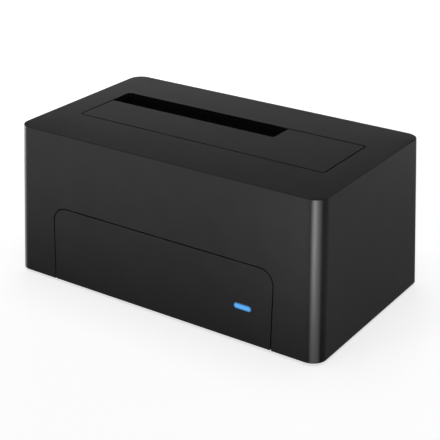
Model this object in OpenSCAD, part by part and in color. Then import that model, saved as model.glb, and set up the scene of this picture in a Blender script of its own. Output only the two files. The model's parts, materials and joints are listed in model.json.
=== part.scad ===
// Single-bay hard drive docking station: a leaning-walled casing with a sprung dust flap over the drive bay.
// Millimetres. The origin is on the table under the middle of the casing,
// with +X to the right seen from the front and +Y to the back.

/* [Drive bay] */
// Width of the opening in the top plate
bay_w = 104; // [98:0.5:112]
// Depth of the opening in the top plate
bay_d = 29.9; // [27:0.1:34]
// Corner radius of the opening
bay_r = 1.1; // [1:0.1:3]
// Width of the slot that the flap leaves for the smaller drive
slot_w = 72.7; // [66:0.1:80]
// Depth of the slot that the flap leaves for the smaller drive
slot_d = 10.8; // [9:0.1:14]
// Wall thickness of the bay frame
bay_wall = 1.8; // [1.4:0.1:2.4]
// Height of the bay floor's underside above the circuit board
bay_floor_rise = 4.8; // [4:0.1:7]

/* [Casing] */
// Width of the top plate left and right of the opening
side_rim = 11.1; // [9:0.1:20]
// Depth of the top plate in front of the opening
front_rim = 21.3; // [19:0.1:30]
// Depth of the top plate behind the opening
back_rim = 20; // [18.5:0.1:30]
// Height of the casing from its bottom edge to its top face
body_h = 57; // [52:1:75]
// Distance that each wall leans in between the bottom edge and the top face
wall_lean = 2.4; // [0.6:0.1:4]
// Radius of the upright corners
corner_r = 5.2; // [3.5:0.1:8]
// Thickness of the casing walls
wall_t = 2.2; // [1.6:0.1:3]
// Thickness of the casing's top plate
top_t = 2.2; // [1.6:0.1:3]

/* [Dust flap] */
// Thickness of the flap plate
flap_t = 2; // [1.6:0.1:2.4]
// Gap between the flap and the front and sides of the opening
flap_gap = 0.5; // [0.25:0.05:0.7]
// Diameter of the hinge pin
pin_d = 2; // [1.4:0.1:2.4]
// Wall of the flap's hinge knuckles around the pin
knuckle_wall = 1; // [0.8:0.1:1.4]
// Length of each hinge knuckle
knuckle_l = 6; // [4:0.5:10]
// Distance of the two middle knuckles from the middle of the flap
knuckle_mid_x = 16; // [12:0.5:24]
// Wire diameter of the torsion springs
wire_d = 0.6; // [0.4:0.05:0.8]
// Turns of each torsion spring
spring_turns = 5; // [3:1:7]

/* [Front panel] */
// Width of the front panel
panel_w = 93.8; // [80:0.2:98]
// Height of the front panel
panel_h = 28.8; // [24:0.2:34]
// Radius of the front panel's top corners
panel_r = 5.5; // [4:0.5:10]
// Width of the seam around the front panel
panel_gap = 0.4; // [0.25:0.05:0.7]
// Width of the indicator window
window_w = 7.2; // [5:0.1:9]
// Height of the indicator window
window_h = 2.4; // [1.8:0.1:3.2]
// Indicator window's distance right of the middle
window_x = 35.5; // [30:0.5:38]
// Height of the indicator window's middle above the casing's bottom edge
window_rise = 12.7; // [11.5:0.1:15]

/* [Base] */
// Thickness of the base plate
base_t = 2.2; // [1.8:0.1:3]
// Diameter of the rubber feet
foot_d = 10; // [8:0.5:12]
// Height of the rubber feet below the casing's bottom edge
foot_drop = 1; // [0.6:0.1:4]
// Height of the posts that carry the circuit board
post_h = 4; // [3.5:0.1:6]
// Thickness of the circuit board
board_t = 1.6; // [1:0.1:2.4]

/* [Rear sockets] */
// Power socket's distance from the circuit board's right edge, seen from the front
jack_inset = 14; // [12:0.5:18]
// Distance from the middle of the power socket to the middle of the data socket
usb_spacing = 22; // [18:0.5:26]
// Rocker switch's distance from the circuit board's left edge, seen from the front
switch_inset = 17; // [15:0.5:22]

/* [Hidden] */
$fn = 64;

// Colours
black_plastic = "#26262a";
panel_plastic = "#222226";
inner_plastic = "#18181a";
rubber = "#141414";
steel = "#b4b6b8";
dark_steel = "#55585c";
gold = "#c9a24a";
board_green = "#1d5a35";
chip_black = "#1a1a1c";
lamp_blue = "#55b3f5";

// Running, assembly and seam clearances, and the overreach of cuts
base_gap = 0.3;
fit_gap = 0.1;
pin_gap = 0.05;
swing_gap = 0.3;
stop_gap = 0.15;
seat_gap = 0.2;
overcut = 1;

// Overall sizes at the casing's bottom edge, and heights
body_w = bay_w + 2 * side_rim + 2 * wall_lean;
body_d = bay_d + front_rim + back_rim + 2 * wall_lean;
z_bottom = foot_drop;
z_top = z_bottom + body_h;
z_ceiling = z_top - top_t;
z_base = z_bottom + base_t;
z_board = z_base + post_h;
z_parts = z_board + board_t;

// The leaning walls: their lean for each millimetre of height, and their thickness measured level
slope = wall_lean / body_h;
lean_angle = atan(slope);
wall_level = wall_t / cos(lean_angle);
function half_w(z) = body_w / 2 - slope * (z - z_bottom);
function half_d(z) = body_d / 2 - slope * (z - z_bottom);

// The bay: the opening's edges, and the frame's inner faces, which stand back from them
bay_y = (front_rim - back_rim) / 2;
bay_relief = 0.4;
bay_back = bay_y + bay_d / 2;
bay_front = bay_y - bay_d / 2;
frame_half_w = bay_w / 2 + bay_relief;
frame_back = bay_back + bay_relief;
floor_z = z_parts + bay_floor_rise;
floor_top = floor_z + bay_wall;

// The hinge: its axis is as far in front of the opening as it is below the top face
pin_r = pin_d / 2;
knuckle_r = pin_r + knuckle_wall;
knuckle_headroom = 0.4;
hinge_drop = top_t + knuckle_headroom + knuckle_r;
hinge_y = bay_front - hinge_drop;
hinge_z = z_top - hinge_drop;
frame_front = hinge_y - knuckle_r - swing_gap;
knuckle_corner_gap = 0.5;
knuckle_edge = bay_w / 2 - bay_r - knuckle_corner_gap;
knuckle_end_x = knuckle_edge - knuckle_l / 2;
pin_head_t = 0.8;
pin_head_lip = 0.6;
pin_head_r = pin_r + pin_head_lip;

// The flap: its back edge swings out a little as it opens. Heights and depths are from the hinge axis
flap_swing_out = pow(hinge_drop, 2) / (2 * (hinge_drop + bay_d));
flap_back_gap = flap_swing_out + swing_gap;
flap_front_reach = hinge_drop + flap_gap;
flap_under = hinge_drop - flap_t;
arm_stop = hinge_drop - top_t - stop_gap;
arm_root = 8;
arm_reach = flap_front_reach + arm_root;
rib_t = 1.4;
rib_deep = 1.6;
slot_right = -bay_w / 2 + slot_w;
slot_front = bay_back - slot_d;

// Torsion springs, one beside each middle knuckle
wire_r = wire_d / 2;
coil_play = 0.4;
coil_r = pin_r + coil_play + wire_r;
turn_gap = 0.5;
coil_pitch = wire_d + turn_gap;
spring_gap = 1;
spring_x = knuckle_mid_x + knuckle_l / 2 + spring_gap;
fixed_leg = 9;
moving_leg = 10;
leg_gap = 0.08;
wire_sides = 6;
rings_per_turn = 8;

// Self-tapping pan-head screws
screw_r = 1;
pilot_r = screw_r + pin_gap;
pilot_spare = 0.5;
screw_hole_r = screw_r + fit_gap;
head_r = 2.4;
head_t = 1.6;
cross_l = 2.8;
cross_w = 0.7;
cross_deep = 0.9;

// Base plate, and the casing's corner bosses that stand on its screw towers
base_half_w = half_w(z_base) - wall_level - base_gap;
base_half_d = half_d(z_base) - wall_level - base_gap;
base_r = max(1, corner_r - wall_level);
foot_r = foot_d / 2;
foot_recess = 1.2;
foot_bevel = 0.4;
foot_margin = 0.7;
boss_x = base_half_w - foot_r - fit_gap - foot_margin;
boss_y = base_half_d - foot_r - fit_gap - foot_margin;
boss_r = 3.2;
tower_r = 4.6;
screw_seat = z_bottom + foot_recess + head_t + seat_gap;
tower_cap = 1.6;
tower_top = screw_seat + tower_cap;
base_screw_bite = 8;
base_screw_l = tower_top - screw_seat + base_screw_bite;

// Ears of the bay frame, screwed to bosses under the top plate
ear_x = 38;
ear_w = 7;
ear_t = 2;
ear_boss_r = 2.6;
ear_boss_l = 6;
ear_boss_gap = 0.5;
ear_out = bay_wall + ear_boss_gap + ear_boss_r;
ear_y_back = frame_back + ear_out;
ear_y_front = frame_front - ear_out;
ear_z = z_ceiling - ear_boss_l;
screw_short = 1;
bay_screw_l = ear_t + ear_boss_l - screw_short;

// Circuit board, which reaches forward under the lamp holder that stands before the bay frame
holder_w = 5;
holder_d = 3.2;
board_side_gap = 3.9;
board_back_gap = 0.9;
board_half_w = boss_x - boss_r - board_side_gap;
board_back = half_d(z_parts) - wall_level - board_back_gap;
board_front = frame_front - bay_wall - swing_gap - holder_d;
board_hole_edge = 4;
board_hole_x = board_half_w - board_hole_edge;
board_hole_ys = [board_front + board_hole_edge, board_back - board_hole_edge];
post_r = 2.6;
board_screw_l = board_t + post_h - screw_short / 2;

// Front panel's lip behind the casing wall, and the base plate's ribs that hold it there
lip_w = 2.5;
lip_t = 1.5;
panel_depth = wall_level + lip_t;
panel_cut_back = panel_depth + overcut - half_d(z_bottom + panel_h + lip_w);
clip_x = 24;
clip_w = 6;
clip_t = 1.8;
clip_h = 9;

// Indicator: the lamp on the circuit board's front edge, and the light pipe before it
window_z = z_bottom + window_rise;
lamp_r = 1.5;
lamp_out = 2;
lamp_tip = board_front - lamp_out;
lamp_set = 2.4;
holder_cap = 0.8;
holder_top = window_z + lamp_r + holder_cap;
pipe_flange_t = 1.2;
pipe_flange_w = 0.9;
pipe_back = lamp_tip - swing_gap;

// Drive connector, placed by the standard drive's left edge and back skin
drive_w = 101.6;
drive_back_play = 0.65;
connector_in = 30.1;
connector_skin = 3.5;
sata_x = -drive_w / 2 + connector_in;
sata_y = bay_back - drive_back_play - connector_skin;
sata_w = 44.4;
sata_d = 6.4;
sata_rise = 1.4;
sata_top = floor_top + sata_rise;
sata_post_w = 2.6;
sata_post_h = 4;
sata_slot_d = 2.6;
sata_slot_deep = 5.5;
sata_data_w = 10.4;
sata_power_w = 21.4;
sata_key_w = 4;
sata_pitch = 1.27;
sata_data_pins = 7;
sata_power_pins = 15;
sata_data_x = sata_x - (sata_key_w + sata_power_w) / 2;
sata_power_x = sata_x + (sata_key_w + sata_data_w) / 2;
contact_w = 0.7;
contact_short = 0.5;
contact_t = 0.3;

// Rear sockets: their mouths stop just inside the leaning back wall
mouth_gap = 0.3;
cutout_gap = 0.35;
jack_x = board_half_w - jack_inset;
jack_w = 9.2;
jack_h = 10.6;
jack_d = 12;
jack_nose_r = 4.2;
jack_z = z_parts + jack_h / 2;
jack_mouth = half_d(jack_z + jack_nose_r) - mouth_gap;
jack_shoulder = half_d(z_parts + jack_h) - wall_level - seat_gap;
jack_bore_r = 3.1;
jack_bore_l = 9.5;
dc_pin_r = 1;
dc_pin_l = 9;
usb_x = jack_x - usb_spacing;
usb_w = 12.1;
usb_h = 11.2;
usb_d = 16.5;
usb_cavity_d = 9.5;
usb_mouth = half_d(z_parts + usb_h) - mouth_gap;
usb_floor = 0.9;
usb_low_w = 8.6;
usb_low_h = 4.6;
usb_chamfer = 1.5;
usb_up_h = 9.4;
tongue_w = 5.4;
tongue_h = 3;
tongue_z = 1.6;
tongue_d = 8.6;
tongue_tip = 1;
upper_tongue_h = 0.9;
upper_tongue_z = 7.6;
usb_contact_w = 0.8;
usb_contact_pitch = 2;
upper_contact_w = 0.5;
upper_contact_pitch = 1;
upper_contacts = 5;

// Rocker switch: the rocker's outline is from its pivot, along X and out of the back
switch_x = -board_half_w + switch_inset;
switch_w = 15;
switch_h = 10.4;
switch_d = 12;
switch_wall = 1;
switch_recess = 1.3;
switch_z = z_parts + switch_h / 2;
switch_mouth = half_d(z_parts + switch_h) - switch_recess;
rocker_half = 5.6;
rocker_edge = 3.2;
rocker_dip = 2;
rocker_side = 1.2;
rocker_keel = 2;
rocker_keel_half = 2.5;
rocker_tilt = 11;
rocker_set = 2.6;
rocker_pocket = 6;
rocker_h = switch_h - 2 * switch_wall - 2 * swing_gap;
pivot_y = switch_mouth - rocker_set;
pivot_r = 0.8;
pivot_tip = 0.6;
pivot_l = rocker_h + 2 * swing_gap + 2 * pivot_tip;

// Small parts on the circuit board
chip_x = 24;
chip_y = -4;
chip_w = 10;
chip_t = 1.4;
lead_pitch = 1;
leads_per_side = 9;
lead_w = 0.4;
lead_l = 1;
lead_t = 0.15;
lead_h = 0.8;
memory_size = [5, 4, 1.5];
memory_gap = 6.5;
memory_at = [chip_x + (chip_w + memory_size[0]) / 2 + memory_gap, chip_y];
crystal_w = 8;
crystal_d = 3.6;
crystal_h = 3.2;
crystal_gap = 4.2;
crystal_at = [chip_x, chip_y + (chip_w + crystal_d) / 2 + crystal_gap];
coil_size = 7;
coil_h = 3.2;
coil_core_r = 2.2;
coil_core_h = 0.3;
coil_at = [[-30, -6], [-20, -6]];
can_r = 3.15;
can_h = 7;
can_bevel = 0.5;
can_gap = 3;
can_pitch = 9;
can_inset = 8;
can_y = board_back - can_inset;
can_x = switch_x + switch_w / 2 + can_gap + can_r;
can_xs = [can_x, can_x + can_pitch];

// Outline of a rectangle with round corners, centred
module round_rect(w, d, r) {
    square([w - 2 * r, d], center = true);
    square([w, d - 2 * r], center = true);
    for (sx = [-1, 1], sy = [-1, 1])
        translate([sx * (w / 2 - r), sy * (d / 2 - r)])
            circle(r);
}

// Outline of a pill lying along X, centred
module pill(w, h) {
    square([w - h, h], center = true);
    for (sx = [-1, 1])
        translate([sx * (w - h) / 2, 0])
            circle(h / 2);
}

// Outline of a doorway standing on y = 0, with its two top corners round
module doorway(w, h, r) {
    translate([-w / 2, 0])
        square([w, h - r]);
    translate([-w / 2 + r, 0])
        square([w - 2 * r, h]);
    for (sx = [-1, 1])
        translate([sx * (w / 2 - r), h - r])
            circle(r);
}

// Stands an outline up in the XZ plane and extrudes it from y_from to y_to
module stand(y_from, y_to) {
    translate([0, y_to, 0])
        rotate([90, 0, 0])
            linear_extrude(y_to - y_from)
                children();
}

// Lays a cylinder along Y from y_from to y_to
module rod(x, z, r, y_from, y_to) {
    translate([x, y_to, z])
        rotate([90, 0, 0])
            cylinder(r = r, h = y_to - y_from);
}

// Lays a cylinder along X from x_from to x_to, on the hinge axis
module hinge_rod(r, x_from, x_to) {
    translate([x_from, hinge_y, hinge_z])
        rotate([0, 90, 0])
            cylinder(r = r, h = x_to - x_from);
}

// What lies outside the round of one upright corner: a wedge less a cylinder tangent to both leaning walls
module corner_cut(w, d, z_lo, z_hi, r) {
    tilt = atan(slope * sqrt(2));
    half_angle = 45 + asin(pow(sin(lean_angle), 2)) / 2;
    side_x = 2 * r * sin(half_angle);
    side_y = 2 * r * cos(half_angle);
    length = (z_hi - z_lo) / cos(tilt) + 2 * r;
    translate([w / 2, d / 2, z_bottom])
        rotate([0, 0, 45])
            rotate([0, -tilt, 0])
                translate([-r / sin(half_angle), 0, z_lo - z_bottom - r])
                    difference() {
                        linear_extrude(length)
                            polygon([[0, 0], [side_x, side_y], [4 * r, 0], [side_x, -side_y]]);
                        translate([0, 0, -overcut])
                            cylinder(r = r, h = length + 2 * overcut);
                    }
}

// Front or side view of a block with leaning walls, of the given size at the casing's bottom edge
module leaning_outline(size, z_lo, z_hi) {
    half_lo = size / 2 - slope * (z_lo - z_bottom);
    half_hi = size / 2 - slope * (z_hi - z_bottom);
    polygon([[-half_lo, z_lo], [half_lo, z_lo], [half_hi, z_hi], [-half_hi, z_hi]]);
}

// Block whose walls lean in like the casing's. Its width and depth are those at the casing's bottom edge
module leaning_block(w, d, z_lo, z_hi, r) {
    difference() {
        intersection() {
            stand(-d, d)
                leaning_outline(w, z_lo, z_hi);
            rotate([0, 0, 90])
                stand(-w, w)
                    leaning_outline(d, z_lo, z_hi);
        }
        for (mx = [0, 1], my = [0, 1])
            mirror([mx, 0, 0])
                mirror([0, my, 0])
                    corner_cut(w, d, z_lo, z_hi, r);
    }
}

// Leaning block set in from the casing's outer faces by a level distance
module inset_block(inset, z_lo, z_hi) {
    leaning_block(body_w - 2 * inset, body_d - 2 * inset, z_lo, z_hi, max(1, corner_r - inset));
}

// Leaning walls from one level distance inside the casing's outer faces to another, from z_lo up
module wall_layer(inset_out, inset_in, z_lo) {
    difference() {
        inset_block(inset_out, z_lo, z_top);
        inset_block(inset_in, z_lo - overcut, z_top + overcut);
    }
}

// Places children at the four corner bosses
module at_corners() {
    for (sx = [-1, 1], sy = [-1, 1])
        translate([sx * boss_x, sy * boss_y, 0])
            children();
}

// Places children at the bay frame's four ears
module at_ears() {
    for (sx = [-1, 1], y = [ear_y_front, ear_y_back])
        translate([sx * ear_x, y, 0])
            children();
}

// Places children at the circuit board's four screw holes
module at_board_holes() {
    for (sx = [-1, 1], y = board_hole_ys)
        translate([sx * board_hole_x, y, 0])
            children();
}

// Upright round hole or post from z_from to z_to
module upright(r, z_from, z_to) {
    translate([0, 0, z_from])
        cylinder(r = r, h = z_to - z_from);
}

// Screw with its head's seat at z = 0, pointing up
module screw(length) {
    difference() {
        union() {
            upright(head_r, -head_t, 0);
            upright(screw_r, -head_t / 2, length);
        }
        for (turn = [0, 90])
            rotate([0, 0, turn])
                translate([-cross_l / 2, -cross_w / 2, -head_t - overcut])
                    cube([cross_l, cross_w, cross_deep + overcut]);
    }
}

// Block centred on x and standing on z, from y_from to y_to
module block(x, w, y_from, y_to, z, h) {
    translate([x - w / 2, y_from, z])
        cube([w, y_to - y_from, h]);
}

// Row of equal blocks along X, centred on x
module block_row(x, count, pitch, w, y_from, y_to, z, h) {
    for (i = [0 : count - 1])
        block(x + (i - (count - 1) / 2) * pitch, w, y_from, y_to, z, h);
}

// Outline of the data socket's mouth, standing on y = 0
module usb_mouth_outline() {
    low = usb_low_w / 2;
    up = low - usb_chamfer;
    neck = usb_low_h + usb_chamfer;
    polygon([
        [-low, 0], [low, 0], [low, usb_low_h], [up, neck],
        [up, usb_up_h], [-up, usb_up_h], [-up, neck], [-low, usb_low_h]
    ]);
}

// Doorway in the front wall, larger than the panel by grow all round
module panel_shape(grow, z_from) {
    stand(-body_d / 2 - overcut, panel_cut_back)
        translate([0, z_from])
            doorway(panel_w + 2 * grow, z_bottom + panel_h + grow - z_from, panel_r + grow);
}

// Pill through the front wall at the indicator window, larger than the window by grow all round
module window_shape(grow, y_to) {
    stand(-body_d / 2 - overcut, y_to)
        translate([window_x, window_z])
            pill(window_w + 2 * grow, window_h + 2 * grow);
}

// Casing

module casing() {
    color(black_plastic)
        difference() {
            union() {
                difference() {
                    inset_block(0, z_bottom, z_top);
                    inset_block(wall_level, z_bottom - overcut, z_ceiling);
                }
                at_corners()
                    upright(boss_r, tower_top, z_ceiling + top_t / 2);
                at_ears()
                    upright(ear_boss_r, ear_z, z_ceiling + top_t / 2);
            }
            translate([0, bay_y, z_ceiling - overcut])
                linear_extrude(top_t + 2 * overcut)
                    round_rect(bay_w, bay_d, bay_r);
            panel_shape(panel_gap, z_bottom - overcut);
            at_corners()
                upright(pilot_r, tower_top - overcut, screw_seat + base_screw_l + pilot_spare);
            at_ears()
                upright(pilot_r, ear_z - overcut, ear_z - ear_t + bay_screw_l + pilot_spare);
            rod(jack_x, jack_z, jack_nose_r + cutout_gap, jack_shoulder, body_d / 2 + overcut);
            block(usb_x, usb_w + 2 * cutout_gap, board_back, body_d / 2 + overcut,
                z_parts - cutout_gap, usb_h + 2 * cutout_gap);
            block(switch_x, switch_w + 2 * cutout_gap, board_back, body_d / 2 + overcut,
                z_parts - cutout_gap, switch_h + 2 * cutout_gap);
        }
}

module front_panel() {
    color(panel_plastic)
        difference() {
            union() {
                intersection() {
                    wall_layer(0, wall_level, z_bottom);
                    panel_shape(0, z_bottom);
                }
                intersection() {
                    wall_layer(wall_level / 2, panel_depth, z_base);
                    panel_shape(0, z_base);
                }
                intersection() {
                    wall_layer(wall_level, panel_depth, z_base);
                    panel_shape(lip_w, z_base);
                }
            }
            window_shape(0, panel_cut_back);
        }
}

module light_pipe() {
    color(lamp_blue)
        union() {
            intersection() {
                inset_block(0, z_bottom, z_top);
                window_shape(-fit_gap, pipe_back);
            }
            intersection() {
                wall_layer(panel_depth, panel_depth + pipe_flange_t, z_bottom);
                window_shape(pipe_flange_w, pipe_back);
            }
        }
}

// Base

module base_plate() {
    clip_back = panel_depth + fit_gap + clip_t - half_d(z_base);
    rooted = z_bottom + base_t / 2;
    color(inner_plastic)
        difference() {
            union() {
                translate([0, 0, z_bottom])
                    linear_extrude(base_t)
                        round_rect(2 * base_half_w, 2 * base_half_d, base_r);
                at_corners()
                    upright(tower_r, rooted, tower_top);
                at_board_holes()
                    upright(post_r, rooted, z_board);
                intersection() {
                    inset_block(panel_depth + fit_gap, z_bottom, z_top);
                    for (sx = [-1, 1])
                        block(sx * clip_x, clip_w, -body_d / 2, clip_back, rooted, z_base + clip_h - rooted);
                }
            }
            at_corners() {
                upright(foot_r + fit_gap, z_bottom - overcut, z_bottom + foot_recess);
                upright(head_r + base_gap, z_bottom, screw_seat);
                upright(screw_hole_r, z_bottom, tower_top + overcut);
            }
            at_board_holes()
                upright(pilot_r, z_base, z_board + overcut);
        }
}

module rubber_feet() {
    foot_top = z_bottom + foot_recess;
    color(rubber)
        at_corners()
            rotate_extrude()
                polygon([
                    [0, 0], [foot_r - foot_bevel, 0], [foot_r, foot_bevel], [foot_r, foot_top], [0, foot_top]
                ]);
}

module base_screws() {
    color(steel)
        at_corners()
            translate([0, 0, screw_seat])
                screw(base_screw_l);
}

// Drive bay and flap

module bay_frame() {
    outer_half_w = frame_half_w + bay_wall;
    outer_back = frame_back + bay_wall;
    outer_front = frame_front - bay_wall;
    ear_tip = ear_boss_r + seat_gap;
    ear_low = ear_z - ear_t;
    sata_half_d = sata_d / 2 + base_gap;
    color(inner_plastic)
        difference() {
            union() {
                difference() {
                    block(0, 2 * outer_half_w, outer_front, outer_back, floor_z, z_ceiling - floor_z);
                    block(0, 2 * frame_half_w, frame_front, frame_back, floor_top, z_top - floor_top);
                }
                for (sx = [-1, 1]) {
                    block(sx * ear_x, ear_w, ear_y_front - ear_tip, frame_front, ear_low, ear_t);
                    block(sx * ear_x, ear_w, frame_back, ear_y_back + ear_tip, ear_low, ear_t);
                    // Bush that keeps the flap's end knuckle in the middle
                    mirror([sx < 0 ? 1 : 0, 0, 0])
                        hinge_rod(knuckle_r, knuckle_edge + swing_gap, frame_half_w + bay_wall / 2);
                }
            }
            at_ears()
                upright(screw_hole_r, ear_low - overcut, ear_z + overcut);
            hinge_rod(pin_r + pin_gap, -outer_half_w - overcut, outer_half_w + overcut);
            // The open flap's edge hangs through this gap in the floor
            block(0, bay_w, hinge_y, bay_front + overcut, floor_z - overcut, bay_wall + 2 * overcut);
            block(sata_x, sata_w + 2 * base_gap, sata_y - sata_half_d, sata_y + sata_half_d,
                floor_z - overcut, bay_wall + 2 * overcut);
        }
}

module bay_screws() {
    color(steel)
        at_ears()
            translate([0, 0, ear_z - ear_t])
                screw(bay_screw_l);
}

// Side view of a hinge arm, from the hinge axis: out along the depth, then up
module arm_outline() {
    polygon([
        [0, -knuckle_r], [arm_reach, flap_under], [arm_reach, flap_under + flap_t / 2],
        [flap_front_reach, flap_under + flap_t / 2], [flap_front_reach, arm_stop],
        [knuckle_r, arm_stop], [0, knuckle_r]
    ]);
}

module dust_flap() {
    plate_w = bay_w - 2 * flap_gap;
    plate_front = bay_front + flap_gap;
    plate_back = bay_back - flap_back_gap;
    plate_d = plate_back - plate_front;
    plate_r = bay_r - flap_gap;
    color(black_plastic)
        difference() {
            union() {
                translate([0, plate_front + plate_d / 2, z_top - flap_t])
                    linear_extrude(flap_t)
                        round_rect(plate_w, plate_d, plate_r);
                block((slot_right - plate_w / 2) / 2, slot_right + plate_w / 2 - 2 * rib_t,
                    slot_front - rib_t, slot_front, z_top - flap_t - rib_deep, rib_deep + flap_t / 2);
                for (x = [-knuckle_end_x, -knuckle_mid_x, knuckle_mid_x, knuckle_end_x]) {
                    hinge_rod(knuckle_r, x - knuckle_l / 2, x + knuckle_l / 2);
                    translate([x - knuckle_l / 2, hinge_y, hinge_z])
                        rotate([90, 0, 90])
                            linear_extrude(knuckle_l)
                                arm_outline();
                }
            }
            hinge_rod(pin_r + pin_gap, -frame_half_w, frame_half_w);
            translate([-bay_w / 2 - overcut, slot_front, z_top - flap_t - overcut])
                cube([slot_w + overcut, slot_d + overcut, flap_t + 2 * overcut]);
        }
}

module hinge_pin() {
    pin_end = frame_half_w + bay_wall;
    color(steel)
        union() {
            hinge_rod(pin_r, -pin_end - pin_head_t / 2, pin_end);
            hinge_rod(pin_head_r, -pin_end - pin_head_t, -pin_end);
        }
}

// Wire of a torsion spring as [along the axis, depth, height]: a fixed leg, the turns and a moving leg
function spring_path() =
    let (
        turned = 360 * spring_turns + 90,
        steps = round(turned / 360 * rings_per_turn),
        reach = coil_pitch * turned / 360
    )
    concat(
        [[0, -coil_r, -fixed_leg], [0, -coil_r, -fixed_leg / 2]],
        [for (i = [0 : steps])
            let (angle = 180 - turned * i / steps)
            [reach * i / steps, coil_r * cos(angle), coil_r * sin(angle)]],
        [[reach, moving_leg / 2, (coil_r + flap_under - wire_r - leg_gap) / 2],
            [reach, moving_leg, flap_under - wire_r - leg_gap]]
    );

// Least distance between the wire's surface and itself, more than half a turn apart along the coil
function least_wire_gap(path) =
    min([for (i = [0 : len(path) - 1], j = [0 : len(path) - 1])
        if (j - i > rings_per_turn / 2) norm(path[j] - path[i])]) - wire_d;

function unit(v) = v / norm(v);

// Ring of points around the wire at one place on its path
function wire_ring(path, i) =
    let (
        last = len(path) - 1,
        along = unit(path[min(i + 1, last)] - path[max(i - 1, 0)]),
        across = unit(cross(along, [1, 0, 0])),
        over = cross(along, across)
    )
    [for (k = [0 : wire_sides - 1])
        let (turn = 360 * k / wire_sides)
        path[i] + wire_r * (cos(turn) * across + sin(turn) * over)];

// One unbroken tube along a path, with triangular faces
module wire(path) {
    rings = len(path);
    points = [for (i = [0 : rings - 1]) each wire_ring(path, i)];
    last = (rings - 1) * wire_sides;
    faces = concat(
        [for (i = [0 : rings - 2], k = [0 : wire_sides - 1])
            let (a = i * wire_sides + k, b = i * wire_sides + (k + 1) % wire_sides)
            each [[a, b, a + wire_sides], [b, b + wire_sides, a + wire_sides]]],
        [for (k = [1 : wire_sides - 2]) [0, k + 1, k]],
        [for (k = [1 : wire_sides - 2]) [last, last + k, last + k + 1]]
    );
    polyhedron(points = points, faces = faces);
}

module flap_spring(side) {
    path = spring_path();
    echo(least_wire_gap = least_wire_gap(path));
    color(steel)
        mirror([side < 0 ? 1 : 0, 0, 0])
            translate([spring_x, hinge_y, hinge_z])
                wire(path);
}

module flap_spring_left() {
    flap_spring(-1);
}

module flap_spring_right() {
    flap_spring(1);
}

// Circuit board and its parts

module main_board() {
    color(board_green)
        difference() {
            block(0, 2 * board_half_w, board_front, board_back, z_board, board_t);
            at_board_holes()
                upright(screw_hole_r, z_board - overcut, z_parts + overcut);
        }
}

module board_screws() {
    color(steel)
        at_board_holes()
            translate([0, 0, z_parts])
                rotate([180, 0, 0])
                    screw(board_screw_l);
}

module sata_receptacle() {
    front = sata_y - sata_d / 2;
    back = sata_y + sata_d / 2;
    post_x = (sata_w - sata_post_w) / 2;
    housing_h = sata_top - z_parts;
    slot_bottom = sata_top - sata_slot_deep;
    color(chip_black)
        difference() {
            union() {
                block(sata_x, sata_w, front, back, z_parts, housing_h);
                for (sx = [-1, 1])
                    block(sata_x + sx * post_x, sata_post_w, front, back, z_parts, housing_h + sata_post_h);
            }
            for (slot = [[sata_data_x, sata_data_w], [sata_power_x, sata_power_w]])
                block(slot[0], slot[1], sata_y - sata_slot_d / 2, sata_y + sata_slot_d / 2,
                    slot_bottom, sata_slot_deep + overcut);
        }
}

module sata_contacts() {
    wall = sata_y + sata_slot_d / 2;
    slot_bottom = sata_top - sata_slot_deep;
    color(gold) {
        block_row(sata_data_x, sata_data_pins, sata_pitch, contact_w, wall - contact_t, wall,
            slot_bottom, sata_slot_deep - contact_short);
        block_row(sata_power_x, sata_power_pins, sata_pitch, contact_w, wall - contact_t, wall,
            slot_bottom, sata_slot_deep - contact_short);
    }
}

module bridge_chip() {
    color(chip_black)
        block(chip_x, chip_w, chip_y - chip_w / 2, chip_y + chip_w / 2, z_parts, chip_t);
}

module bridge_leads() {
    side_y = chip_w / 2;
    color(steel)
        for (side = [0 : 3])
            translate([chip_x, chip_y, z_parts])
                rotate([0, 0, 90 * side]) {
                    block_row(0, leads_per_side, lead_pitch, lead_w, side_y, side_y + lead_l, 0, lead_t);
                    block_row(0, leads_per_side, lead_pitch, lead_w, side_y, side_y + lead_t, 0, lead_h);
                }
}

module memory_chip() {
    color(chip_black)
        translate([memory_at[0] - memory_size[0] / 2, memory_at[1] - memory_size[1] / 2, z_parts])
            cube(memory_size);
}

module crystal_can() {
    color(steel)
        translate([crystal_at[0], crystal_at[1], z_parts])
            linear_extrude(crystal_h)
                pill(crystal_w, crystal_d);
}

module inductors() {
    color(dark_steel)
        for (at = coil_at)
            translate([at[0], at[1], z_parts]) {
                translate([-coil_size / 2, -coil_size / 2, 0])
                    cube([coil_size, coil_size, coil_h]);
                upright(coil_core_r, coil_h / 2, coil_h + coil_core_h);
            }
}

module capacitors() {
    color(steel)
        for (x = can_xs)
            translate([x, can_y, z_parts])
                rotate_extrude()
                    polygon([
                        [0, 0], [can_r, 0], [can_r, can_h - can_bevel], [can_r - can_bevel, can_h], [0, can_h]
                    ]);
}

module led_holder() {
    color(chip_black)
        difference() {
            block(window_x, holder_w, board_front, board_front + holder_d, z_parts, holder_top - z_parts);
            rod(window_x, window_z, lamp_r + pin_gap, board_front - overcut, board_front + lamp_set);
        }
}

module status_led() {
    color(lamp_blue)
        union() {
            rod(window_x, window_z, lamp_r, lamp_tip + lamp_r, board_front + lamp_set);
            translate([window_x, lamp_tip + lamp_r, window_z])
                sphere(lamp_r);
        }
}

// Rear sockets and switch

module dc_jack() {
    color(chip_black)
        difference() {
            union() {
                block(jack_x, jack_w, jack_shoulder - jack_d, jack_shoulder, z_parts, jack_h);
                rod(jack_x, jack_z, jack_nose_r, jack_shoulder - jack_d / 2, jack_mouth);
            }
            rod(jack_x, jack_z, jack_bore_r, jack_mouth - jack_bore_l, jack_mouth + overcut);
        }
}

module dc_pin() {
    color(steel)
        rod(jack_x, jack_z, dc_pin_r, jack_mouth - jack_bore_l, jack_mouth - jack_bore_l + dc_pin_l);
}

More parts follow.
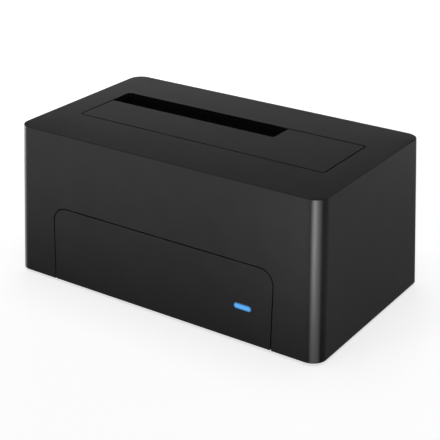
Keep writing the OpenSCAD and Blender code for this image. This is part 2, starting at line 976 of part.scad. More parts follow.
module usb_shell() {
    color(steel)
        difference() {
            block(usb_x, usb_w, usb_mouth - usb_d, usb_mouth, z_parts, usb_h);
            stand(usb_mouth - usb_cavity_d, usb_mouth + overcut)
                translate([usb_x, z_parts + usb_floor])
                    usb_mouth_outline();
        }
}

module usb_tongue() {
    back = usb_mouth - usb_cavity_d;
    color(lamp_blue) {
        block(usb_x, tongue_w, back, back + tongue_d, z_parts + usb_floor + tongue_z, tongue_h);
        block(usb_x, tongue_w, back, back + tongue_d, z_parts + usb_floor + upper_tongue_z, upper_tongue_h);
    }
}

module usb_contacts() {
    back = usb_mouth - usb_cavity_d;
    tip = back + tongue_d - tongue_tip;
    low = z_parts + usb_floor + tongue_z;
    upper = z_parts + usb_floor + upper_tongue_z;
    color(gold) {
        for (z = [low - contact_t, low + tongue_h])
            block_row(usb_x, 2, usb_contact_pitch, usb_contact_w, back, tip, z, contact_t);
        block_row(usb_x, upper_contacts, upper_contact_pitch, upper_contact_w, back, tip,
            upper - contact_t, contact_t);
    }
}

module switch_body() {
    color(chip_black)
        difference() {
            block(switch_x, switch_w, switch_mouth - switch_d, switch_mouth, z_parts, switch_h);
            block(switch_x, switch_w - 2 * switch_wall, switch_mouth - rocker_pocket, switch_mouth + overcut,
                z_parts + switch_wall, switch_h - 2 * switch_wall);
            translate([switch_x, pivot_y, switch_z])
                cylinder(r = pivot_r + pin_gap, h = pivot_l + 2 * fit_gap, center = true);
        }
}

module power_rocker() {
    color(inner_plastic)
        translate([switch_x, pivot_y, switch_z])
            rotate([0, 0, rocker_tilt])
                union() {
                    linear_extrude(rocker_h, center = true)
                        polygon([
                            [-rocker_half, rocker_edge], [-rocker_half, rocker_side],
                            [-rocker_keel_half, -rocker_keel], [rocker_keel_half, -rocker_keel],
                            [rocker_half, rocker_side], [rocker_half, rocker_edge], [0, rocker_dip]
                        ]);
                    cylinder(r = pivot_r, h = pivot_l, center = true);
                }
}

casing();
front_panel();
light_pipe();
base_plate();
rubber_feet();
base_screws();
bay_frame();
bay_screws();
dust_flap();
hinge_pin();
flap_spring_left();
flap_spring_right();
main_board();
board_screws();
sata_receptacle();
sata_contacts();
bridge_chip();
bridge_leads();
memory_chip();
crystal_can();
inductors();
capacitors();
led_holder();
status_led();
dc_jack();
dc_pin();
usb_shell();
usb_tongue();
usb_contacts();
switch_body();
power_rocker();
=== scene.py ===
# Looks of a single-bay hard drive docking station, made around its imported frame.
# Metres. The front is at -Y, +X is to the right seen from the front, and +Z is up.
import json
import math

import bmesh
import bpy
from mathutils import Matrix, Vector


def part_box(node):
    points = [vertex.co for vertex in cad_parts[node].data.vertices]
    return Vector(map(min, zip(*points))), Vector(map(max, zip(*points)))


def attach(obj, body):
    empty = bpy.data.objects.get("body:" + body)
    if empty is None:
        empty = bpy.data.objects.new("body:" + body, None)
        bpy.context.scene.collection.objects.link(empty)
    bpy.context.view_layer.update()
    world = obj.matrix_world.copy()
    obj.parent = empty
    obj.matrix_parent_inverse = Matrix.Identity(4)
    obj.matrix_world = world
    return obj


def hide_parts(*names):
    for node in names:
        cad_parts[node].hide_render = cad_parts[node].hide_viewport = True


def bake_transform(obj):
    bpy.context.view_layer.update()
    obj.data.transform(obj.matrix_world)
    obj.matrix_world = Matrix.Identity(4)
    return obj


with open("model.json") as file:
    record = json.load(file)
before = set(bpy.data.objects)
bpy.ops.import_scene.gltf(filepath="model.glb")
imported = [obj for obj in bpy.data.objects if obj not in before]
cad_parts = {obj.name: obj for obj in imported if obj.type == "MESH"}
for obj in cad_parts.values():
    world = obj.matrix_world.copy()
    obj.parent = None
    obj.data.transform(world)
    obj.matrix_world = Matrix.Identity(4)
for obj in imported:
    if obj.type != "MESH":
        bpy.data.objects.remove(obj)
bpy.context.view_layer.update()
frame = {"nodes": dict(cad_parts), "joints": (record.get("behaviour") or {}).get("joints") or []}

MM = 0.001
UP = Vector((0, 0, 1))
FRONT = Vector((0, -1, 0))
BACK = Vector((0, 1, 0))

# View of the photograph: angles in degrees, round the target from the front and up from the table
CAMERA_AZIMUTH = 34.06
CAMERA_ELEVATION = 24.54
CAMERA_DISTANCE = 0.4391
CAMERA_TARGET = Vector((0.0026, -0.0021, 0.0240))
CAMERA_LENS = 97.84
CAMERA_SENSOR = 36.0
CAMERA_NEAR = 10 * MM

# Casing: its box, its leaning walls and its eased edges
CASING_LO, CASING_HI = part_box("casing")
CASING_SIZE = CASING_HI - CASING_LO
WALL_LEAN = 2.4 * MM
WALL_T = 2.2 * MM
CORNER_R = 5.2 * MM
CORNER_STEPS = 14
TOP_EDGE = 0.3 * MM
TOP_EDGE_STEPS = 3
FINE_EDGE = 0.06 * MM

# Bay opening, which starts as far behind the hinge axis as the axis lies below the top face
HINGE = Vector(next(j for j in frame["joints"] if j["name"] == "flap_swing")["pos_m"])
FLAP_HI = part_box("dust_flap")[1]
FLAP_GAP = 0.5 * MM
BAY_W = 2 * (FLAP_HI.x + FLAP_GAP)
BAY_D = 29.9 * MM
BAY_R = 1.1 * MM
BAY_FRONT = HINGE.y + CASING_HI.z - HINGE.z
BAY_MIDDLE_Y = BAY_FRONT + BAY_D / 2

# Doorway in the front wall for the panel, whose lip reaches behind the wall
PANEL_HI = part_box("front_panel")[1]
PANEL_LIP = 2.5 * MM
PANEL_GAP = 0.4 * MM
PANEL_R = 5.5 * MM
DOOR_W = 2 * (PANEL_HI.x - PANEL_LIP + PANEL_GAP)
DOOR_TOP = PANEL_HI.z - PANEL_LIP + PANEL_GAP
DOOR_R = PANEL_R + PANEL_GAP
DOOR_STEPS = 10

# Indicator window: its size, and how its glow fades in shares of half its height
PIPE_LO, PIPE_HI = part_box("light_pipe")
WINDOW_W = 7.2 * MM
WINDOW_H = 2.4 * MM
GLOW_CORE = 0.25
GLOW_RIM = 1.05
GLOW_LEFT = 0.08

# Cut-outs in the back wall
SOCKET_GAP = 0.35 * MM
SOCKET_CORNER = 0.6 * MM
SOCKET_STEPS = 4
JACK_NOSE_R = 4.2 * MM
JACK_STEPS = 48
SOCKET_HEADROOM = 4 * MM

# Screw bosses inside the casing, hollow over a share of their height
SCREW_HEAD_R = 2.4 * MM
SCREW_HEAD_T = 1.6 * MM
SCREW_R = 1.05 * MM
BOSS_R = 3.2 * MM
BOSS_FOOT = 1.6 * MM
EAR_BOSS_R = 2.6 * MM
EAR_T = 2 * MM
BOSS_STEPS = 24
BOSS_HOLLOW = 0.8

# Torsion springs of the flap
WIRE_R = 0.3 * MM
WIRE_SIDES = 10
COIL_R = 1.7 * MM
COIL_TURNS = 5.25
COIL_STEPS_PER_TURN = 24
FIXED_LEG = 9 * MM
MOVING_LEG = 10 * MM
MOVING_LEG_RISE = 0.52 * MM

# Power rocker: half its length, how far its face stands out at the ends and in the middle, and its lean
ROCKER_PIVOT = Vector(next(j for j in frame["joints"] if j["name"] == "rocker_tip")["pos_m"])
ROCKER_HALF = 5.6 * MM
ROCKER_END = 3.2 * MM
ROCKER_DIP = 2 * MM
ROCKER_LEAN = math.radians(11)

# Printed marks on the rocker
MARK_H = 3 * MM
MARK_STROKE = 0.45 * MM
MARK_T = 0.06 * MM
MARK_EASE = MARK_STROKE / 4
MARK_EASE_STEPS = 3

# Rubber feet
FOOT_LO, FOOT_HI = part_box("rubber_feet")
FOOT_R = 5 * MM
FOOT_EASE = 0.5 * MM
FOOT_EASE_TURNS = (0, 22.5, 45, 67.5, 90)
FOOT_DISH_R = 3 * MM
FOOT_DISH = 0.25 * MM
FOOT_STEPS = 48

# Circuit board: tracks, the noise level above which they run, and the holes between its layers
TRACK_PITCH = 0.6 * MM
TRACK_W = 0.25 * MM
TRACK_RUN = 18 * MM
TRACK_LEVEL = 0.48
TRACK_COLOUR = (0.040, 0.210, 0.085, 1)
HOLE_PITCH = 4 * MM
HOLE_R = 0.35 * MM
TIN_COLOUR = (0.60, 0.60, 0.58, 1)

# Shine of the upright corners: the slants at which it starts and is full, and its coat
SHINE_START = 0.21
SHINE_FULL = 0.385
SHINE_ROUGHNESS = 0.45
SHINE_IOR = 1.7

# Levels between which a noise texture mostly stays
NOISE_LOW = 0.3
NOISE_HIGH = 0.7

# Merging and flattening of copied frame meshes, and the angles from which an edge is eased or is a rim
MERGE = 0.001 * MM
FLAT_ANGLE = math.radians(0.5)
EASE_ANGLE = math.radians(35)
RIM_ANGLE = math.radians(57)

# Room light, and the floor's reach, tone and glow
ROOM_LIGHT = 0.035
FLOOR_REACH = 4
FLOOR_TONE = 0.62
FLOOR_GLOW = 0.7

# Lamps: name, aim, angles round and up from the aim, distance, width, height, power, and spread of the beam.
# A narrow spread is a box with a grid on it. Angles and spreads are in degrees, and powers in watts.
MIDDLE = Vector((0, 0, CASING_SIZE.z / 2))
RIM = Vector((0, 0, CASING_HI.z))
CORNER_AIM = 0.8
NEAR_CORNER = Vector((CASING_HI.x - CORNER_R, CASING_LO.y + CORNER_R, CASING_SIZE.z * CORNER_AIM))
NO_GRID = 180
LAMPS = [
    ("corner_snoot", NEAR_CORNER, 30, -5, 0.2, 0.014, 0.058, 0.0034, 18),
    ("front_strip", RIM, -28, -3, 0.42, 0.55, 0.05, 0.172, 24),
    ("back_right_strip", RIM, 150, -5, 0.3, 0.25, 0.04, 0.0165, 30),
    ("back_strip", RIM, 180, -3, 0.45, 0.5, 0.05, 0.08, 24),
    ("left_strip", RIM, -90, -3, 0.45, 0.4, 0.05, 0.06, 24),
    ("back_left_strip", MIDDLE, -148, 5, 0.46, 0.35, 0.05, 0.95, NO_GRID),
    ("front_softbox", MIDDLE, 0, 30, 1.0, 0.6, 0.5, 0.3, NO_GRID),
    ("overhead_softbox", MIDDLE, 0, 89, 1.1, 1.0, 1.0, 5.5, NO_GRID),
]


# Material helpers

def fill(node, values):
    """Sets a node's inputs, each to a plain value or to a link from another node's output."""
    for name, value in values.items():
        if isinstance(value, bpy.types.NodeSocket):
            node.id_data.links.new(value, node.inputs[name])
        else:
            node.inputs[name].default_value = value


def add_node(material, kind, values, **settings):
    """Adds a shader node with its settings and inputs."""
    node = material.node_tree.nodes.new("ShaderNode" + kind)
    for name, value in settings.items():
        setattr(node, name, value)
    fill(node, values)
    return node


def reckon(material, operation, first, second=0.0):
    """Output of a sum worked out by a Math node."""
    return add_node(material, "Math", {0: first, 1: second}, operation=operation).outputs[0]


def on_object(material, output="Object"):
    """Place or normal on the piece itself, as an output to link."""
    return add_node(material, "TexCoord", {}).outputs[output]


def shader_of(material):
    """The surface shader that a finish fills in."""
    return material.node_tree.nodes["Principled BSDF"]


def new_material(name):
    """Material with a surface shader of its own and nothing set."""
    material = bpy.data.materials.new(name)
    material.use_nodes = True
    return material


# Stage

def direction(azimuth, elevation):
    """Unit vector from the object, by its angle round from the front to the right and its angle up."""
    around = math.radians(azimuth)
    up = math.radians(elevation)
    return Vector((math.sin(around) * math.cos(up), -math.cos(around) * math.cos(up), math.sin(up)))


def place(obj, target, towards, distance):
    """Sets a camera or lamp at a distance from a target, looking at it."""
    obj.location = target + towards * distance
    obj.rotation_euler = towards.to_track_quat("Z", "Y").to_euler()
    bpy.context.scene.collection.objects.link(obj)


def add_camera():
    """Camera at the photograph's viewing angle."""
    lens = bpy.data.cameras.new("photo_camera")
    lens.lens = CAMERA_LENS
    lens.sensor_width = CAMERA_SENSOR
    lens.clip_start = CAMERA_NEAR
    camera = bpy.data.objects.new("photo_camera", lens)
    place(camera, CAMERA_TARGET, direction(CAMERA_AZIMUTH, CAMERA_ELEVATION), CAMERA_DISTANCE)
    bpy.context.scene.camera = camera


def add_lamp(name, target, azimuth, elevation, distance, width, height, power, spread):
    """Area lamp aimed at a target."""
    lamp = bpy.data.lights.new(name, "AREA")
    lamp.shape = "RECTANGLE"
    lamp.size = width
    lamp.size_y = height
    lamp.energy = power
    lamp.spread = math.radians(spread)
    box = bpy.data.objects.new(name, lamp)
    box.visible_camera = False
    place(box, target, direction(azimuth, elevation), distance)


def add_world():
    """Faint even light of the room."""
    world = bpy.data.worlds.new("studio_room")
    world.use_nodes = True
    fill(world.node_tree.nodes["Background"], {"Color": (1, 1, 1, 1), "Strength": ROOM_LIGHT})
    bpy.context.scene.world = world


def floor_paint():
    """Pale floor that shows as white to the camera and in reflections, under the object's shadow."""
    material = new_material("floor_paint")
    path = add_node(material, "LightPath", {}).outputs
    seen = reckon(material, "MAXIMUM", path["Is Camera Ray"], path["Is Glossy Ray"])
    seen_through = reckon(material, "MAXIMUM", seen, path["Is Transmission Ray"])
    fill(shader_of(material), {
        "Base Color": (FLOOR_TONE, FLOOR_TONE, FLOOR_TONE, 1), "Roughness": 0.9, "Specular IOR Level": 0.0,
        "Emission Color": (1, 1, 1, 1),
        "Emission Strength": reckon(material, "MULTIPLY", seen_through, FLOOR_GLOW)})
    return material


def add_floor():
    """Plain floor, which isn't part of the object."""
    bm = bmesh.new()
    bmesh.ops.create_grid(bm, x_segments=1, y_segments=1, size=FLOOR_REACH)
    mesh = bpy.data.meshes.new("floor")
    bm.to_mesh(mesh)
    bm.free()
    mesh.materials.append(floor_paint())
    floor = bpy.data.objects.new("floor", mesh)
    bpy.context.scene.collection.objects.link(floor)


# Finishes

def grained(name, dark, pale, rough, patch, grain, relief, metal=0.0, gloss=0.5):
    """Finish whose tone and roughness drift in patches, with a fine grain in relief. Lengths in metres."""
    material = new_material(name)
    where = on_object(material)
    drift = add_node(material, "TexNoise", {"Vector": where, "Scale": 1 / patch, "Detail": 3})
    tone = add_node(material, "ValToRGB", {"Fac": drift.outputs["Fac"]})
    for stop, level, colour in zip(tone.color_ramp.elements, (NOISE_LOW, NOISE_HIGH), (dark, pale)):
        stop.position = level
        stop.color = (*colour, 1)
    grit = add_node(material, "TexNoise", {"Vector": where, "Scale": 1 / grain, "Detail": 2})
    speckle = grit.outputs["Fac"]
    dullness = add_node(material, "MapRange", {
        "Value": speckle, "From Min": NOISE_LOW, "From Max": NOISE_HIGH,
        "To Min": rough[0], "To Max": rough[1]})
    bump = add_node(material, "Bump", {"Height": speckle, "Strength": 1.0, "Distance": relief})
    fill(shader_of(material), {
        "Base Color": tone.outputs["Color"], "Metallic": metal, "Specular IOR Level": gloss,
        "Roughness": dullness.outputs["Result"], "Normal": bump.outputs["Normal"]})
    return material


def burnish_corners(material):
    """Thin shine on the upright corners only, more to the front and back than to the sides."""
    normal = add_node(material, "SeparateXYZ", {"Vector": on_object(material, "Normal")}).outputs
    slant = reckon(material, "MULTIPLY", normal["X"], normal["Y"])
    forward = reckon(material, "MULTIPLY", slant, normal["Y"])
    shine = add_node(material, "MapRange", {
        "Value": reckon(material, "ABSOLUTE", forward), "From Min": SHINE_START, "From Max": SHINE_FULL,
        "To Min": 0.0, "To Max": 1.0}, interpolation_type="SMOOTHSTEP")
    fill(shader_of(material), {
        "Coat Roughness": SHINE_ROUGHNESS, "Coat IOR": SHINE_IOR, "Coat Weight": shine.outputs["Result"]})


def trace_board(material):
    """Bundles of copper tracks under the board's resist, and tinned holes through it."""
    shader = shader_of(material)
    resist = shader.inputs["Base Color"].links[0].from_socket
    where = on_object(material)
    tracks = add_node(material, "TexBrick", {
        "Vector": where, "Scale": 1 / TRACK_PITCH, "Brick Width": TRACK_RUN / TRACK_PITCH, "Row Height": 1.0,
        "Mortar Size": TRACK_W / TRACK_PITCH / 2, "Mortar Smooth": 0.1})
    bundles = add_node(material, "TexNoise", {"Vector": where, "Scale": 1 / TRACK_RUN, "Detail": 0})
    bundled = reckon(material, "GREATER_THAN", bundles.outputs["Fac"], TRACK_LEVEL)
    copper = reckon(material, "MULTIPLY", tracks.outputs["Fac"], bundled)
    tracked = add_node(material, "MixRGB", {"Fac": copper, "Color1": resist, "Color2": TRACK_COLOUR})
    holes = add_node(material, "TexVoronoi", {"Vector": where, "Scale": 1 / HOLE_PITCH})
    tinned = reckon(material, "LESS_THAN", holes.outputs["Distance"], HOLE_R / HOLE_PITCH)
    drilled = add_node(material, "MixRGB", {
        "Fac": tinned, "Color1": tracked.outputs["Color"], "Color2": TIN_COLOUR})
    fill(shader, {"Base Color": drilled.outputs["Color"], "Metallic": tinned})


def lit_window():
    """Clear pipe lit blue from behind, brightest along the middle of its pill-shaped end."""
    material = new_material("lit_window")
    from_middle = add_node(material, "VectorMath", {0: on_object(material), 1: (PIPE_LO + PIPE_HI) / 2},
                           operation="SUBTRACT")
    across = add_node(material, "SeparateXYZ", {"Vector": from_middle.outputs["Vector"]}).outputs
    sideways = reckon(material, "ABSOLUTE", across["X"])
    past_straight = add_node(material, "Math", {0: sideways, 1: (WINDOW_W - WINDOW_H) / 2},
                             operation="SUBTRACT", use_clamp=True)
    offset = add_node(material, "CombineXYZ", {"X": past_straight.outputs[0], "Z": across["Z"]})
    from_line = add_node(material, "VectorMath", {0: offset.outputs["Vector"]}, operation="LENGTH")
    fade = add_node(material, "MapRange", {
        "Value": from_line.outputs["Value"], "From Min": GLOW_CORE * WINDOW_H / 2,
        "From Max": GLOW_RIM * WINDOW_H / 2, "To Min": 1.0, "To Max": GLOW_LEFT},
        interpolation_type="SMOOTHSTEP")
    fill(shader_of(material), {
        "Base Color": (0.006, 0.022, 0.06, 1), "Roughness": 0.3, "Specular IOR Level": 0.3,
        "Emission Color": (0.078, 0.395, 0.86, 1), "Emission Strength": fade.outputs["Result"]})
    return material


# Each finish: dark and pale tone, least and most roughness, then patch, grain and relief
FINISHES = {
    "shell_plastic": grained("textured_black_plastic", (0.0188, 0.0188, 0.0191), (0.0214, 0.0214, 0.0217),
                             (0.40, 0.50), 9 * MM, 0.35 * MM, 0.012 * MM, gloss=0.038),
    "panel_plastic": grained("satin_black_plastic", (0.0188, 0.0188, 0.0191), (0.0214, 0.0214, 0.0217),
                             (0.40, 0.50), 9 * MM, 0.3 * MM, 0.008 * MM, gloss=0.038),
    "inner_plastic": grained("plain_black_plastic", (0.0180, 0.0180, 0.0183), (0.0225, 0.0225, 0.0228),
                             (0.50, 0.62), 6 * MM, 0.4 * MM, 0.01 * MM, gloss=0.2),
    "connector_plastic": grained("connector_black_plastic", (0.008, 0.008, 0.0085), (0.014, 0.014, 0.0145),
                                 (0.32, 0.45), 2 * MM, 0.2 * MM, 0.006 * MM),
    "blue_plastic": grained("blue_connector_plastic", (0.010, 0.070, 0.40), (0.016, 0.100, 0.52),
                            (0.35, 0.48), 2 * MM, 0.2 * MM, 0.006 * MM),
    "light_window": lit_window(),
    "foot_rubber": grained("soft_black_rubber", (0.010, 0.010, 0.010), (0.018, 0.018, 0.018),
                           (0.75, 0.92), 2 * MM, 0.25 * MM, 0.02 * MM, gloss=0.3),
    "screw_steel": grained("zinc_plated_steel", (0.46, 0.47, 0.49), (0.58, 0.58, 0.58),
                           (0.24, 0.40), 1.5 * MM, 0.12 * MM, 0.004 * MM, metal=1.0),
    "bright_can": grained("bright_drawn_metal", (0.62, 0.63, 0.64), (0.74, 0.75, 0.76),
                          (0.18, 0.32), 3 * MM, 0.15 * MM, 0.003 * MM, metal=1.0),
    "gold_contact": grained("gold_plating", (0.70, 0.48, 0.16), (0.82, 0.60, 0.24),
                            (0.18, 0.30), 1 * MM, 0.1 * MM, 0.002 * MM, metal=1.0),
    "ferrite": grained("sintered_ferrite", (0.030, 0.030, 0.032), (0.060, 0.058, 0.055),
                       (0.55, 0.75), 0.8 * MM, 0.15 * MM, 0.012 * MM),
    "circuit_board": grained("green_solder_resist", (0.008, 0.085, 0.032), (0.016, 0.130, 0.055),
                             (0.25, 0.40), 1.2 * MM, 0.3 * MM, 0.006 * MM),
    "mark_print": grained("white_pad_print", (0.62, 0.62, 0.60), (0.72, 0.72, 0.70),
                          (0.45, 0.60), 0.6 * MM, 0.12 * MM, 0.004 * MM),
}
burnish_corners(FINISHES["shell_plastic"])
trace_board(FINISHES["circuit_board"])


# Mesh helpers

def wall_y(z):
    """Distance of the leaning front and back walls from the middle, at a height."""
    return CASING_HI.y - WALL_LEAN * (z - CASING_LO.z) / CASING_SIZE.z


def facing(bm, way):
    """Largest face that looks one way."""
    bm.normal_update()
    return max(bm.faces, key=lambda face: face.calc_area() * face.normal.dot(way))


def only(kind, geom):
    """Vertices, edges or faces out of a mixed list."""
    return [item for item in geom if isinstance(item, kind)]


def at_height(item, z):
    """True for a vertex or edge at one height."""
    verts = getattr(item, "verts", [item])
    return all(abs(vert.co.z - z) < MERGE for vert in verts)


def round_off(bm, geom, radius, steps, affect):
    """Rounds edges, or corners of a flat face."""
    bmesh.ops.bevel(bm, geom=geom, offset=radius, offset_type="OFFSET", segments=steps, profile=0.5,
                    affect=affect, material=-1)


def plate(bm, width, depth, radius, steps, rounded=lambda vert: True):
    """Flat face around the origin, with the chosen corners rounded."""
    others = set(bm.faces)
    corners = bmesh.ops.create_grid(bm, x_segments=1, y_segments=1, size=0.5)["verts"]
    bmesh.ops.scale(bm, vec=(width, depth, 1), verts=corners)
    round_off(bm, [vert for vert in corners if rounded(vert)], radius, steps, "VERTICES")
    return next(face for face in bm.faces if face not in others)


def disc(bm, radius, steps):
    """Flat round face around the origin."""
    others = set(bm.faces)
    bmesh.ops.create_circle(bm, cap_ends=True, segments=steps, radius=radius)
    return next(face for face in bm.faces if face not in others)


def stand_in_wall(bm, face, x, z, side):
    """Stands a flat face up in the leaning front wall (side -1) or back wall (side 1)."""
    verts = face.verts[:]
    bmesh.ops.rotate(bm, verts=verts, cent=(0, 0, 0), matrix=Matrix.Rotation(math.pi / 2, 3, "X"))
    bmesh.ops.translate(bm, verts=verts, vec=(x, 0, z))
    for vert in verts:
        vert.co.y = side * wall_y(vert.co.z)


def slice_faces(bm, faces, at, across):
    """Cuts faces along a plane and gives back all their parts."""
    geom = {item for face in faces for item in (face, *face.edges, *face.verts)}
    cut = bmesh.ops.bisect_plane(bm, geom=list(geom), plane_co=at, plane_no=across)
    return only(bmesh.types.BMFace, cut["geom"])


def bare_rims(bm, wall, hole):
    """Takes away a wall face and the face of a hole in it, and gives back the edges of both."""
    rims = wall.edges[:] + hole.edges[:]
    bmesh.ops.delete(bm, geom=[wall, hole], context="FACES_ONLY")
    return rims


def ease_edges(obj, width):
    """Small round on every sharp edge, with the flat faces kept flat in the shading."""
    bevel = obj.modifiers.new("eased_edges", "BEVEL")
    bevel.width = width
    bevel.segments = 2
    bevel.limit_method = "ANGLE"
    bevel.angle_limit = EASE_ANGLE
    flats = obj.modifiers.new("flat_faces", "WEIGHTED_NORMAL")
    flats.weight = 100


def dressed(bm, name, body, slot, stands_for, edge=FINE_EDGE):
    """Turns a bmesh into a finished piece that rides on a body, in place of any frame nodes named."""
    for face in bm.faces:
        face.smooth = True
    mesh = bpy.data.meshes.new(name)
    bm.to_mesh(mesh)
    bm.free()
    mesh.materials.append(FINISHES[slot])
    obj = bpy.data.objects.new(name, mesh)
    bpy.context.scene.collection.objects.link(obj)
    if edge:
        ease_edges(obj, edge)
    if body:
        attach(obj, body)
    if stands_for:
        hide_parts(*stands_for)
    return obj


def merged_copy(node):
    """Copy of a frame node's mesh with its triangles merged and its flat faces whole."""
    bm = bmesh.new()
    bm.from_mesh(frame["nodes"][node].data)
    bmesh.ops.remove_doubles(bm, verts=bm.verts[:], dist=MERGE)
    bmesh.ops.dissolve_limit(bm, angle_limit=FLAT_ANGLE, verts=bm.verts[:], edges=bm.edges[:],
                             use_dissolve_boundaries=False)
    return bm


# Casing

def casing_skin():
    """Leaning box with round upright corners, open underneath."""
    bm = bmesh.new()
    bmesh.ops.create_cube(bm, size=1)
    bmesh.ops.scale(bm, vec=CASING_SIZE, verts=bm.verts[:])
    bmesh.ops.translate(bm, vec=(CASING_LO + CASING_HI) / 2, verts=bm.verts[:])
    taper = (1 - 2 * WALL_LEAN / CASING_SIZE.x, 1 - 2 * WALL_LEAN / CASING_SIZE.y, 1)
    bmesh.ops.scale(bm, vec=taper, verts=facing(bm, UP).verts[:])
    half_height = CASING_SIZE.z / 2
    uprights = [e for e in bm.edges if abs(e.verts[0].co.z - e.verts[1].co.z) > half_height]
    round_off(bm, uprights, CORNER_R, CORNER_STEPS, "EDGES")
    bmesh.ops.delete(bm, geom=[facing(bm, -UP)], context="FACES_ONLY")
    return bm


def at_foot(item):
    """True for an edge or vertex on the casing's bottom edge."""
    return at_height(item, CASING_LO.z)


def cut_front_door(bm):
    """Doorway for the front panel, open at the bottom edge."""
    height = DOOR_TOP - CASING_LO.z
    door = plate(bm, DOOR_W, height, DOOR_R, DOOR_STEPS, rounded=lambda vert: vert.co.y > 0)
    stand_in_wall(bm, door, 0, CASING_LO.z + height / 2, -1)
    wall = facing(bm, FRONT)
    rims = [edge for face in (wall, door) for edge in face.edges if not at_foot(edge)]
    feet = [edge for face in (wall, door) for edge in face.edges if at_foot(edge)]
    wall_feet = sorted(filter(at_foot, wall.verts), key=lambda vert: vert.co.x)
    door_feet = sorted(filter(at_foot, door.verts), key=lambda vert: vert.co.x)
    sills = [bm.edges.new(pair) for pair in zip(wall_feet, door_feet)]
    bmesh.ops.delete(bm, geom=[wall, door], context="FACES_ONLY")
    bmesh.ops.delete(bm, geom=feet, context="EDGES")
    bmesh.ops.edgeloop_fill(bm, edges=rims + sills)


def socket_holes(bm):
    """Cut-out faces for the switch, the data socket and the power socket, in order of their x."""
    holes = []
    for node in ("switch_body", "usb_shell", "dc_pin"):
        lo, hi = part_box(node)
        if node == "dc_pin":
            hole = disc(bm, JACK_NOSE_R + SOCKET_GAP, JACK_STEPS)
        else:
            width = hi.x - lo.x + 2 * SOCKET_GAP
            height = hi.z - lo.z + 2 * SOCKET_GAP
            hole = plate(bm, width, height, SOCKET_CORNER, SOCKET_STEPS)
        stand_in_wall(bm, hole, (lo.x + hi.x) / 2, (lo.z + hi.z) / 2, 1)
        holes.append(hole)
    return holes


def cut_rear_sockets(bm):
    """Cut-outs in the back wall, each in its own strip of the wall."""
    wall = facing(bm, BACK)
    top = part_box("usb_shell")[1].z + SOCKET_HEADROOM
    strips = [f for f in slice_faces(bm, [wall], (0, 0, top), UP) if f.calc_center_median().z < top]
    holes = socket_holes(bm)
    for left, right in zip(holes, holes[1:]):
        between = (left.calc_center_median() + right.calc_center_median()) / 2
        strips = slice_faces(bm, strips, between, (1, 0, 0))
    strips.sort(key=lambda face: face.calc_center_median().x)
    for strip, hole in zip(strips, holes):
        bmesh.ops.triangle_fill(bm, edges=bare_rims(bm, strip, hole), use_beauty=True, normal=BACK)


def cut_bay_opening(bm):
    """Opening in the top plate for the drive and the flap."""
    bay = plate(bm, BAY_W, BAY_D, BAY_R, CORNER_STEPS)
    bmesh.ops.translate(bm, verts=bay.verts[:], vec=(0, BAY_MIDDLE_Y, CASING_HI.z))
    top = next(f for f in bm.faces if f is not bay and f.calc_center_median().z > CASING_HI.z - MERGE)
    bmesh.ops.triangle_fill(bm, edges=bare_rims(bm, top, bay), use_beauty=True, normal=UP)


def outside_bay(vert):
    """True for a vertex well outside the bay opening."""
    return abs(vert.co.x) > BAY_W / 2 + CORNER_R or abs(vert.co.y) > BAY_D


def ease_top_rim(bm):
    """Small round along the outer edge of the top plate."""
    on_top = [e for e in bm.edges if all(v.co.z > CASING_HI.z - MERGE for v in e.verts)]
    rims = [e for e in on_top if e.calc_face_angle(0) > RIM_ANGLE]
    outer = [e for e in rims if any(outside_bay(v) for v in e.verts)]
    round_off(bm, outer, TOP_EDGE, TOP_EDGE_STEPS, "EDGES")


def screw_boss(bm, x, y, z_from, radius):
    """Hollow post from a height up to the top plate, for a screw from below."""
    height = CASING_HI.z - WALL_T / 2 - z_from
    others = set(bm.faces)
    middle = Matrix.Translation((x, y, z_from + height / 2))
    bmesh.ops.create_cone(bm, cap_ends=True, segments=BOSS_STEPS, radius1=radius, radius2=radius,
                          depth=height, matrix=middle)
    end = min((f for f in bm.faces if f not in others), key=lambda face: face.calc_center_median().z)
    bmesh.ops.inset_individual(bm, faces=[end], thickness=radius - SCREW_R, depth=0)
    well = bmesh.ops.extrude_discrete_faces(bm, faces=[end])["faces"]
    bmesh.ops.translate(bm, verts=well[0].verts[:], vec=(0, 0, height * BOSS_HOLLOW))


def add_bosses(bm):
    """Bosses for the screws of the base plate and of the bay frame."""
    for node, rise, radius in (("base_screws", BOSS_FOOT, BOSS_R), ("bay_screws", EAR_T, EAR_BOSS_R)):
        lo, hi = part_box(node)
        for x in (lo.x + SCREW_HEAD_R, hi.x - SCREW_HEAD_R):
            for y in (lo.y + SCREW_HEAD_R, hi.y - SCREW_HEAD_R):
                screw_boss(bm, x, y, lo.z + SCREW_HEAD_T + rise, radius)


def casing():
    """Whole shell, from its skin with the cut-outs to its wall thickness and bosses."""
    bm = casing_skin()
    cut_front_door(bm)
    cut_rear_sockets(bm)
    cut_bay_opening(bm)
    bmesh.ops.recalc_face_normals(bm, faces=bm.faces[:])
    bmesh.ops.solidify(bm, geom=bm.faces[:], thickness=WALL_T)
    for vert in bm.verts:
        vert.co.z = max(vert.co.z, CASING_LO.z)
    ease_top_rim(bm)
    add_bosses(bm)
    dressed(bm, "casing_shell", "dock", "shell_plastic", ["casing"])


# Flap springs, feet and rocker marks

